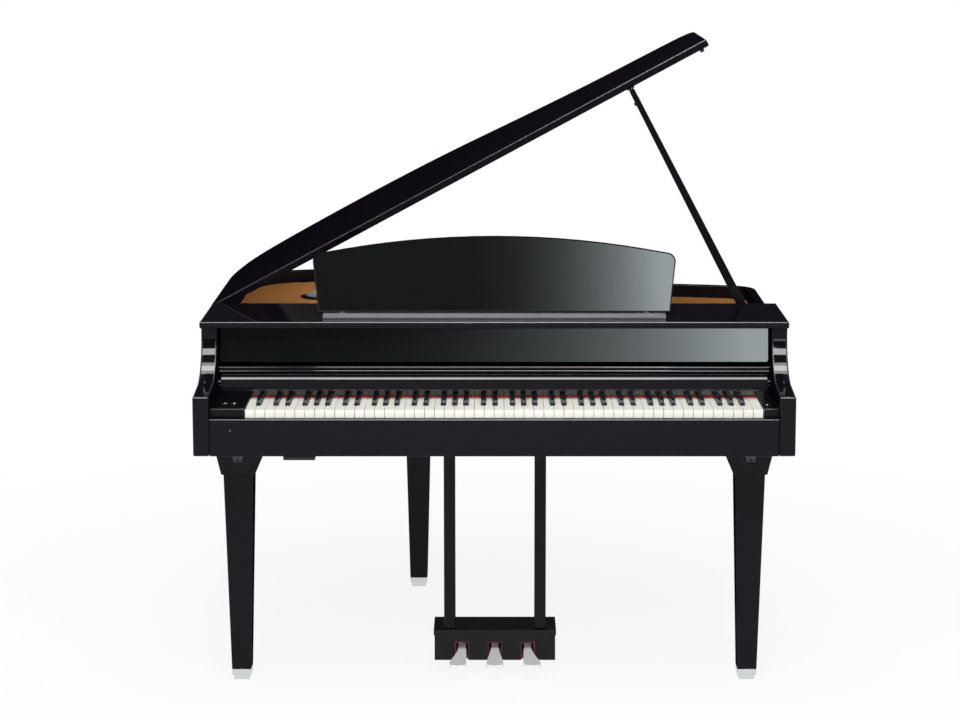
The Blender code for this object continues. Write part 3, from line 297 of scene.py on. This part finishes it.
LACQUER = polished_lacquer("polished_polyester_lacquer", 0.13)
# A copy of the lacquer that mirrors more strongly, on the name panel and the music desk, so that they show
# the screens' grey fade: a painted sheen.
PANEL_LACQUER = polished_lacquer("panel_lacquer_painted_sheen", 0.5, "#0f1010", 0.015, 0.03)
# A copy of the lacquer that mirrors more strongly and never fades, only on the deck's flat top: a painted
# reflection.
DECK_LACQUER = polished_lacquer("deck_top_painted_reflection", 0.4, fades=False)
# A copy of the lacquer that hardly mirrors, on the lid, its prop and the desk's chamfer: painted shade that
# keeps them dark.
LID_LACQUER = polished_lacquer("lid_lacquer_painted_shade", 0.04)
# A copy of the lacquer that mirrors far more strongly, on hollow faces, beads and the fallboard strip:
# painted sheen and reflection.
COVE_LACQUER = polished_lacquer("cove_lacquer_painted_sheen", 0.9, low=0.03, high=0.06, fades=False)
EDGE = lacquer_edge()
PAINT = satin_paint()
PLASTIC = moulded_plastic("moulded_black_abs", "#131316", 0.35, 0.30, 0.40)
PANEL_PLASTIC = moulded_plastic("control_panel_abs", "#0a0a0d", 0.15, 0.22, 0.30)
BOX_SHELL = moulded_plastic("pedal_box_shell", "#0e0d12", 0.22, 0.34, 0.44)
# The ledge's grey base is a painted highlight on the black ledge.
LEDGE_PAINTED_HIGHLIGHT = moulded_plastic("ledge_painted_grey_highlight", "#7b7a80", 0.6, 0.24, 0.34)
LATCH = moulded_plastic("leg_latch_plastic", "#2c2b3a", 0.5, 0.25, 0.35)
SPRUCE = spruce()
KEY_WHITE = key_acrylic()
KEY_BLACK = key_ebony()
RED_FELT = felt("red_wool_felt", "#7a1512", "#c23a30")
DARK_RED_FELT = felt("dark_red_bushing_felt", "#4d0a18", "#7d1428")
SILVER = silvered("satin_silver_plating", "#f2f5f5")
LAMP = status_lamp()
FERRULE = metal("satin_die_cast_zinc", "#d6d9da", 0.26, 0.36, (0.2, 0.2, 1))
CHROME = metal("button_chrome", "#cfd1d4", 0.16, 0.24)
BRASS = metal("polished_brass", "#b8904a", 0.16, 0.28, (1, 0.05, 1))
WIRE = metal("black_coated_wire", "#2b2c2e", 0.32, 0.42)
PRESSED = metal("pressed_grey_steel", "#74787b", 0.40, 0.52)
MESH_GRILLE = grille()
BOARD = circuit_board()
RUBBER = rubber()


# The frame's nodes

def body_of(node):
    """The name of the body that the node moves with."""
    return frame["nodes"][node]["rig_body"]


def slot_of(node):
    """The node's material slot in the record."""
    for entry in frame["record"]["subparts"]:
        if entry["node"] == node:
            return entry["material_slot"]
    return None


def pivot_of(node):
    """The joint's place for a moving node, from the record."""
    for joint in frame["record"]["behaviour"]["joints"]:
        if joint["child"] == node:
            return Vector(joint["pos_m"])
    return None


def lo(node):
    """The lowest corner of the node's box."""
    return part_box(node)[0]


def hi(node):
    """The highest corner of the node's box."""
    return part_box(node)[1]


# Pieces from the CAD. All lengths are in metres, and the angles given to pieces in degrees.

MERGE_DISTANCE = 0.000004
FLAT_WITHIN = 0.4  # degrees between triangles of one flat face
SHARP_ANGLE = 28
BODY_INDEX, EDGE_INDEX, RULE_INDEX = 0, 1, 2  # a piece's material slots


def clean_copy(node):
    """The CAD node's mesh with its loose triangles merged into whole faces."""
    shape = bmesh.new()
    shape.from_mesh(frame["nodes"][node].data)
    bmesh.ops.remove_doubles(shape, verts=shape.verts, dist=MERGE_DISTANCE)
    bmesh.ops.dissolve_limit(shape, angle_limit=math.radians(FLAT_WITHIN), verts=shape.verts,
                             edges=shape.edges, delimit={"NORMAL"})
    for layer in list(shape.loops.layers.uv):
        shape.loops.layers.uv.remove(layer)
    return shape


def faces_up(normal):
    """True where a rounded edge looks up and not sideways, towards the lamps overhead: there the edge lacquer
    keeps its painted highlight.
    """
    return normal.z > 0.2 and abs(normal.x) < 0.5


def faces_cove(normal):
    """True on the hollow front faces that show the lamps as bands; they get a far more mirroring copy of the
    lacquer, a painted sheen.
    """
    return normal.y < -0.04 and 0.30 < normal.z < 0.97


def settle_edges(piece, lit, rule):
    """Applies the modifiers and leaves the edge lacquer, a painted highlight, only on the faces whose normal
    passes lit.

    A rule is a test of the normal and the lacquer that the other faces get where they pass it.
    """
    graph = bpy.context.evaluated_depsgraph_get()
    mesh = bpy.data.meshes.new_from_object(piece.evaluated_get(graph))
    piece.modifiers.clear()
    piece.data = mesh
    if rule:
        mesh.materials.append(rule[1])
    for face in mesh.polygons:
        if face.material_index == EDGE_INDEX and not lit(face.normal):
            face.material_index = BODY_INDEX
        if rule and face.material_index == BODY_INDEX and rule[0](face.normal):
            face.material_index = RULE_INDEX


def round_edges(piece, width, segments, angle, marked):
    """Bevels the edges sharper than angle and keeps flat faces flat. Marked bevels get the edge lacquer."""
    rounding = piece.modifiers.new("edge_rounding", "BEVEL")
    rounding.width = width
    rounding.segments = segments
    rounding.limit_method = "ANGLE"
    rounding.angle_limit = math.radians(angle)
    rounding.harden_normals = True
    rounding.miter_outer = "MITER_ARC"
    if marked:
        rounding.material = EDGE_INDEX
    flat = piece.modifiers.new("flat_faces", "WEIGHTED_NORMAL")
    flat.mode = "FACE_AREA"
    flat.weight = 100


def piece_from(name, shape, material, body, slot=None, replaced=(), edge=0.0, segments=3, angle=SHARP_ANGLE,
               edge_material=None, lit=faces_up, rule=None):
    """A finished piece: bmesh to object, with rounded edges, riding on its body."""
    mesh = bpy.data.meshes.new(name)
    shape.to_mesh(mesh)
    shape.free()
    for face in mesh.polygons:
        face.use_smooth = True
    mesh.materials.append(material)
    if edge_material:
        mesh.materials.append(edge_material)
    piece = bpy.data.objects.new(name, mesh)
    bpy.context.scene.collection.objects.link(piece)
    if edge:
        round_edges(piece, edge, segments, angle, bool(edge_material))
        if edge_material:
            settle_edges(piece, lit, rule)
    else:
        mesh.set_sharp_from_angle(angle=math.radians(angle))
    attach(piece, body)
    if replaced:
        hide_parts(*replaced)
    return piece


def finished(node, shape, material, **choices):
    """The piece that stands for a CAD node, riding on that node's body."""
    return piece_from(node + "_finished", shape, material, body_of(node), slot_of(node), (node,), **choices)


def refine(nodes, material, edge=0.0, segments=3, angle=SHARP_ANGLE, **choices):
    """Replaces CAD nodes, given by a name or several, by the same shapes with rounded edges."""
    for node in [nodes] if isinstance(nodes, str) else nodes:
        finished(node, clean_copy(node), material, edge=edge, segments=segments, angle=angle, **choices)


def refine_lined(nodes, material, edge, segments=3, **choices):
    """As refine, with the rounded edges in the edge lacquer, so that they show as pale lines of painted
    highlight.
    """
    refine(nodes, material, edge, segments, edge_material=EDGE, **choices)


def rounded_panel(node, material, radius):
    """The name panel: its four corners are rounded as seen from the front."""
    shape = clean_copy(node)
    low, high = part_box(node)

    def at_corner(edge):
        """True for the short edges that run through the panel at its left and right ends."""
        first, second = edge.verts[0].co, edge.verts[1].co
        level = abs(first.x - second.x) < 1e-4 and abs(first.z - second.z) < 0.004
        return level and min(abs(first.x - low.x), abs(first.x - high.x)) < 1e-4

    corners = [edge for edge in shape.edges if at_corner(edge)]
    bmesh.ops.bevel(shape, geom=corners, offset=radius, segments=6, profile=0.5, affect="EDGES")
    finished(node, shape, material, edge=0.0007, segments=2, angle=40, edge_material=EDGE,
             lit=lambda normal: normal.x > 0.3 or normal.z > 0.6)


def chamfered_desk(node, width, drop):
    """The music desk: a flat chamfer runs round its front face. The chamfer is in the dull lid lacquer:
    painted shade that draws a dark outline.
    """
    shape = clean_copy(node)
    shape.faces.ensure_lookup_table()
    front = max((face for face in shape.faces if face.normal.y < -0.5), key=lambda face: face.calc_area())
    way = front.normal.copy()
    rim = set(front.verts)
    border = bmesh.ops.inset_region(shape, faces=[front], thickness=width)["faces"]
    for vertex in rim:
        vertex.co -= way * drop
    for face in shape.faces:
        face.material_index = BODY_INDEX
    for face in border:
        face.material_index = EDGE_INDEX
    piece = finished(node, shape, PANEL_LACQUER, angle=12, edge_material=LID_LACQUER)
    for face in piece.data.polygons:
        if face.normal.dot(way) > 0.9:
            face.use_smooth = False


# Rounded edges in the edge lacquer keep a painted highlight only where their normal passes the lit test.
refine_lined("case_rim", LACQUER, 0.0018)
refine_lined("keyslip", LACQUER, 0.0014)
refine_lined(("arm_left", "arm_right"), LACQUER, 0.0042, 5, rule=(faces_cove, COVE_LACQUER))
# The deck's top gets the deck lacquer, a painted reflection.
refine_lined("top_deck", LACQUER, 0.0036, 4, rule=(lambda normal: normal.z > 0.95, DECK_LACQUER))
# The name panel is in the panel lacquer, a painted sheen.
rounded_panel("name_panel", PANEL_LACQUER, 0.006)
# Strip and rail are all in the cove lacquer, a painted sheen and reflection.
refine(("fallboard_strip", "cover_rail"), COVE_LACQUER, 0.0006, 2)
# The ledge's grey is a painted highlight.
refine_lined("desk_ledge", LEDGE_PAINTED_HIGHLIGHT, 0.0012)
refine_lined("key_cover", LACQUER, 0.0012, angle=35, lit=lambda normal: abs(normal.x) < 0.5,
             rule=(faces_cove, COVE_LACQUER))
refine_lined("lid", LID_LACQUER, 0.0036, 4)
chamfered_desk("music_desk", 0.0032, 0.0012)
refine_lined("lid_prop", LID_LACQUER, 0.0024, lit=lambda normal: abs(normal.x) > 0.25)
refine(("leg_front_left", "leg_front_right", "leg_rear"), LACQUER, 0.0018)
refine(("lyre_post_left", "lyre_post_right"), LACQUER, 0.0006, 2)
refine("pedal_box", BOX_SHELL, 0.0010, 2)
refine(("ferrule_front_left", "ferrule_front_right", "ferrule_rear"), FERRULE, 0.0012)
refine(("pedal_left", "pedal_middle", "pedal_right"), SILVER, 0.0026, 4, angle=50)
refine_lined(("control_panel_left", "control_panel_right"), PANEL_PLASTIC, 0.0012, 2,
             lit=lambda normal: normal.y < 0.5)
refine("headphone_box", PLASTIC, 0.0030)
refine(("panel_button_left", "panel_button_right", "power_button"), CHROME, 0.0003, 2)
for name in sorted(frame["nodes"]):
    if name.startswith("white_key"):
        refine(name, KEY_WHITE, 0.0004, 2)
    elif name.startswith("sharp_key"):
        refine_lined(name, KEY_BLACK, 0.0010, lit=lambda normal: normal.y < -0.1 and normal.z > 0.1)
refine("soundboard", SPRUCE)
refine("keybed", PAINT, 0.0015, 2)
refine("bottom_board", PAINT)
refine("key_frame", PRESSED, 0.0006, 1)
refine("main_board", BOARD)
refine(("speaker_left", "speaker_right"), PLASTIC, angle=35)
refine(("lid_hinge_case_leaf", "lid_hinge_lid_leaf"), BRASS, angle=35)
refine("prop_bracket", BRASS, 0.0005, 2)
refine("prop_cup", PLASTIC)
refine("lid_buffer", RUBBER, 0.0008, 2)
refine("desk_stay", WIRE, angle=50)


# Small pieces that the CAD leaves out

# The pedal box, as in the CAD
BOX_WALL = 0.010
BOX_LID_OVERHANG = 0.002
PEDAL_SLOT_HALF = 0.0172
PEDAL_SLOT_TOP = 0.089

# Outlines of round pieces, as (radius, along the axis)
KNOB = ((0.0045, 0.0), (0.0045, 0.0040), (0.0036, 0.0055), (0.0020, 0.0062))
LATCH_SCREW = ((0.0045, 0.0), (0.0045, 0.005), (0.0030, 0.007), (0.0046, 0.010), (0.0036, 0.013))
LAMP_DOT = ((0.0013, 0.0), (0.0013, 0.0012), (0.0010, 0.0014))


def box_into(shape, low, high):
    """Adds a box to a bmesh."""
    low, high = Vector(low), Vector(high)
    place = Matrix.Translation((low + high) / 2) @ Matrix.Diagonal((*(high - low), 1))
    bmesh.ops.create_cube(shape, size=1, matrix=place)


def turned_into(shape, centre, axis, profile, sides=24):
    """Adds a round piece to a bmesh: (radius, along) points spun about an axis through centre."""
    turn = Vector((0, 0, 1)).rotation_difference(Vector(axis)).to_matrix()
    rings = []
    for radius, along in profile:
        ring = []
        for k in range(sides):
            angle = 2 * math.pi * k / sides
            spot = Vector((radius * math.cos(angle), radius * math.sin(angle), along))
            ring.append(shape.verts.new(Vector(centre) + turn @ spot))
        rings.append(ring)
    for first, second in zip(rings, rings[1:]):
        for k in range(sides):
            shape.faces.new((first[k - 1], first[k], second[k], second[k - 1]))
    shape.faces.new(rings[0][::-1])
    shape.faces.new(rings[-1])


def key_strip_felt():
    """The line of red felt behind the keys, along the fallboard strip's lower edge."""
    strip = lo("fallboard_strip")
    thickness, gap, below, above = 0.0030, 0.0002, 0.0015, 0.0030
    shape = bmesh.new()
    box_into(shape, (lo("white_keys_bass").x, strip.y - thickness, strip.z - below),
             (hi("white_keys_treble").x, strip.y - gap, strip.z + above))
    piece_from("key_strip_felt", shape, RED_FELT, "case", edge=0.0004, segments=2)


def slot_bushings():
    """Felt round the three pedal slots, and the plate that closes the pedal box from below."""
    low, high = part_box("pedal_box")
    width, proud, clearance = 0.0022, 0.0006, 0.0005
    front = low.y + BOX_LID_OVERHANG
    inside = front + BOX_WALL
    bottom, lintel = low.z + clearance, PEDAL_SLOT_TOP - width
    for name in ("pedal_left", "pedal_middle", "pedal_right"):
        middle = pivot_of(name).x
        shape = bmesh.new()
        for side in (-1, 1):
            edge = middle + side * PEDAL_SLOT_HALF
            box_into(shape, (min(edge, edge - side * width), front - proud, bottom),
                     (max(edge, edge - side * width), inside, lintel))
        box_into(shape, (middle - PEDAL_SLOT_HALF, front - proud, lintel),
                 (middle + PEDAL_SLOT_HALF, inside, PEDAL_SLOT_TOP))
        piece_from(name + "_slot_felt", shape, DARK_RED_FELT, "case", edge=0.0004, segments=2)
    plate_inset, plate_top = 0.013, 0.0040
    shape = bmesh.new()
    box_into(shape, (low.x + plate_inset, inside, bottom),
             (high.x - plate_inset, high.y - BOX_WALL, low.z + plate_top))
    piece_from("pedal_box_base", shape, PAINT, "case", edge=0.0008, segments=2)


def prop_knob():
    """The small stop on the prop's left side, near its tip."""
    low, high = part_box("lid_prop")
    below_tip, from_corner = 0.044, 0.003
    lean = math.atan2(high.z - low.z, high.x - low.x)
    along = Vector((-math.cos(lean), 0, math.sin(lean)))
    out = Vector((-math.sin(lean), 0, -math.cos(lean)))
    tip = Vector((low.x, (low.y + high.y) / 2, high.z))
    shape = bmesh.new()
    turned_into(shape, tip - along * below_tip + out * from_corner, out, KNOB)
    piece_from("prop_knob", shape, PLASTIC, "lid_prop", angle=50)


def leg_latches():
    """The latch under the keybed in front of each front leg, with two thumbscrews."""
    half_width, depth, height, gap = 0.011, 0.030, 0.009, 0.0006
    outward, behind_keyslip = 0.008, 0.020
    screw_half_pitch, screw_in, screw_down = 0.006, 0.008, 0.006
    for node, side in (("leg_front_left", -1), ("leg_front_right", 1)):
        low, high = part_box(node)
        front = lo("keyslip").y + behind_keyslip
        top = lo("keybed").z
        middle = (low.x + high.x) / 2 - side * outward
        shape = bmesh.new()
        box_into(shape, (middle - half_width, front, top - height),
                 (middle + half_width, front + depth, top - gap))
        for shift in (-screw_half_pitch, screw_half_pitch):
            turned_into(shape, (middle + shift, front + screw_in, top - screw_down), (0, 0, -1), LATCH_SCREW)
        piece_from(node + "_latch", shape, LATCH, "case", edge=0.0012)


def speaker_grilles():
    """A domed grille of punched steel over each speaker."""
    dome = ((0.80, 0.0002), (0.80, 0.0010), (0.72, 0.0030), (0.50, 0.0046), (0.22, 0.0054))
    crown = (0.002, 0.0056)
    for node in ("speaker_left", "speaker_right"):
        low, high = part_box(node)
        middle = ((low.x + high.x) / 2, (low.y + high.y) / 2, high.z)
        radius = (high.x - low.x) / 2
        shape = bmesh.new()
        turned_into(shape, middle, (0, 0, 1), (*((radius * share, up) for share, up in dome), crown), 48)
        piece_from(node + "_grille", shape, MESH_GRILLE, "case", angle=50)


def small_lamp():
    """The status lamp's dot, flush in the keyslip at the left."""
    corner = lo("keyslip")
    inward, behind, up = 0.0487, 0.0010, 0.062
    shape = bmesh.new()
    turned_into(shape, (corner.x + inward, corner.y + behind, corner.z + up), (0, -1, 0), LAMP_DOT)
    piece_from("status_lamp_dot", shape, LAMP, "case", angle=50)


key_strip_felt()
slot_bushings()
prop_knob()
leg_latches()
speaker_grilles()
small_lamp()


# Stage, light and camera

CAMERA_DISTANCE = 5.60  # in front of the arms
CAMERA_HEIGHT = 1.912
CAMERA_PITCH = 8.0530  # degrees down
FLOOR_REACH = 300.0

# Each lamp's name, place, aim, width and length, watts, and whether the lacquer mirrors it
LAMPS = (
    ("front_left_box", (-2.0, -3.6, 3.4), (-0.9, -0.45, 0.85), (2.2, 1.18), 45, True),
    ("front_right_box", (2.0, -3.6, 3.4), (0.9, -0.45, 0.85), (2.2, 1.18), 45, True),
    ("front_centre_box", (0.0, -2.9, 4.3), (0, 0, 0.8), (1.5, 0.7), 55, True),
    ("overhead_box", (0.0, -0.82, 4.2), (0, -0.82, 0.0), (2.4, 2.2), 55, True),
    ("overhead_core", (0.0, -0.86, 4.1), (0, -0.86, 0.0), (2.4, 0.9), 28, True),
    ("case_fill", (-0.06, 0.40, 1.15), (-0.44, 0.30, 0.86), (0.12, 0.12), 4.0, False),
    ("pedal_light", (0.0, -2.4, 0.745), (0, -0.35, 0.08), (0.9, 0.24), 14, False),
)

# Each screen's lowest and highest z of direction, its right end, and where its light starts and is full.
# The last three are places across: x over -y of the direction.
SCREENS = (
    (0.078, 0.16, 0.16, -0.10, 0.105),
    (0.42, 0.70, 0.115, -0.04, 0.085),
)
SCREEN_DARK = "#151515"
SCREEN_BRIGHT = "#e8f4f8"
SCREEN_STRENGTH = 9.0
SCREEN_GROWTH = 4  # the power of the way across that the light grows by


def soft_box(name, place, aim, size, power, mirrored):
    """A rectangular studio lamp that the camera itself doesn't see."""
    light = bpy.data.lights.new(name, "AREA")
    light.shape = "RECTANGLE"
    light.size, light.size_y = size
    light.energy = power
    lamp = bpy.data.objects.new(name, light)
    lamp.location = place
    lamp.rotation_euler = (Vector(aim) - Vector(place)).to_track_quat("-Z", "Y").to_euler()
    lamp.visible_camera = False
    lamp.visible_glossy = mirrored
    bpy.context.scene.collection.objects.link(lamp)


def maths(tree, operation, *values):
    """The result of a Math node on values or links."""
    return add_node(tree, "ShaderNodeMath", dict(enumerate(values)), operation=operation).outputs[0]


def build_floor():
    """A pale floor that reaches the horizon, with soft shadows near the piano and white further off."""
    mesh = bpy.data.meshes.new("studio_floor")
    far = FLOOR_REACH
    mesh.from_pydata([(-far, -far, 0), (far, -far, 0), (far, far, 0), (-far, far, 0)], [], [(0, 1, 2, 3)])
    material = bpy.data.materials.new("white_vinyl_sweep")
    material.use_nodes = True
    tree = material.node_tree
    tree.nodes.clear()
    diffuse = add_node(tree, "ShaderNodeBsdfDiffuse", {"Color": linear("#f4f4f4")}).outputs[0]
    white = add_node(tree, "ShaderNodeEmission", {"Color": linear("#ffffff"), "Strength": 1.0}).outputs[0]
    path = add_node(tree, "ShaderNodeLightPath").outputs
    seen = maths(tree, "MAXIMUM", maths(tree, "MAXIMUM", path["Is Camera Ray"], path["Is Glossy Ray"]),
                 path["Is Transmission Ray"])
    place = add_node(tree, "ShaderNodeTexCoord").outputs["Object"]
    away = add_node(tree, "ShaderNodeVectorMath", {0: place}, operation="LENGTH").outputs["Value"]
    limits = {"From Min": 0.6, "From Max": 2.4, "To Min": 0.90, "To Max": 1.0}
    share = maths(tree, "MULTIPLY", seen, map_range(tree, away, limits))
    both = add_node(tree, "ShaderNodeMixShader", {0: share, 1: diffuse, 2: white}).outputs[0]
    add_node(tree, "ShaderNodeOutputMaterial", {"Surface": both})
    mesh.materials.append(material)
    floor = bpy.data.objects.new("studio_floor", mesh)
    bpy.context.scene.collection.objects.link(floor)


def build_world():
    """A white sweep to just above the horizon, a dark ceiling, and two lit screens behind the camera.

    The screens grow brighter towards the right, which gives the music desk and name panel their grey fade.
    """
    world = bpy.data.worlds.new("studio")
    world.use_nodes = True
    bpy.context.scene.world = world
    tree = world.node_tree
    tree.nodes.clear()
    direction = add_node(tree, "ShaderNodeTexCoord").outputs["Generated"]
    x, y, z = add_node(tree, "ShaderNodeSeparateXYZ", {0: direction}).outputs
    sweep = ramp(tree, z, ((0.0, "#ffffff"), (0.066, "#ffffff"), (0.078, "#18181c"), (1.0, "#3c3c40")))
    across = maths(tree, "DIVIDE", x, maths(tree, "MAXIMUM", maths(tree, "MULTIPLY", y, -1.0), 0.001))
    front = map_range(tree, y, {"From Min": -0.55, "From Max": -0.65})
    shader = add_node(tree, "ShaderNodeBackground", {"Color": sweep, "Strength": 1.0}).outputs[0]
    for low, high, end, start, full in SCREENS:
        inside = maths(tree, "MULTIPLY", front, maths(tree, "LESS_THAN", across, end))
        way = map_range(tree, across, {"From Min": start, "From Max": full})
        fade = maths(tree, "POWER", way, SCREEN_GROWTH)
        colour = ramp(tree, fade, ((0.0, SCREEN_DARK), (1.0, SCREEN_BRIGHT)))
        light = {"Color": colour, "Strength": SCREEN_STRENGTH}
        lit = add_node(tree, "ShaderNodeBackground", light).outputs[0]
        band = maths(tree, "MULTIPLY", maths(tree, "GREATER_THAN", z, low), maths(tree, "LESS_THAN", z, high))
        share = maths(tree, "MULTIPLY", band, inside)
        shader = add_node(tree, "ShaderNodeMixShader", {0: share, 1: shader, 2: lit}).outputs[0]
    add_node(tree, "ShaderNodeOutputWorld", {"Surface": shader})


def build_camera():
    """A long lens in front of the arms, a little above the lid's tip, tilted and shifted down."""
    camera = bpy.data.cameras.new("camera")
    camera.lens = 90.915
    camera.sensor_width = 36.0
    camera.shift_x = -0.014878
    camera.shift_y = -0.118
    camera.clip_end = FLOOR_REACH + 100.0
    eye = bpy.data.objects.new("camera", camera)
    middle = (lo("arm_left").x + hi("arm_right").x) / 2
    eye.location = (middle, lo("arm_left").y - CAMERA_DISTANCE, CAMERA_HEIGHT)
    eye.rotation_euler = (math.radians(90 - CAMERA_PITCH), 0, 0)
    bpy.context.scene.collection.objects.link(eye)
    bpy.context.scene.camera = eye


build_floor()
build_world()
build_camera()
for lamp in LAMPS:
    soft_box(*lamp)

bpy.context.scene.view_settings.view_transform = "Standard"
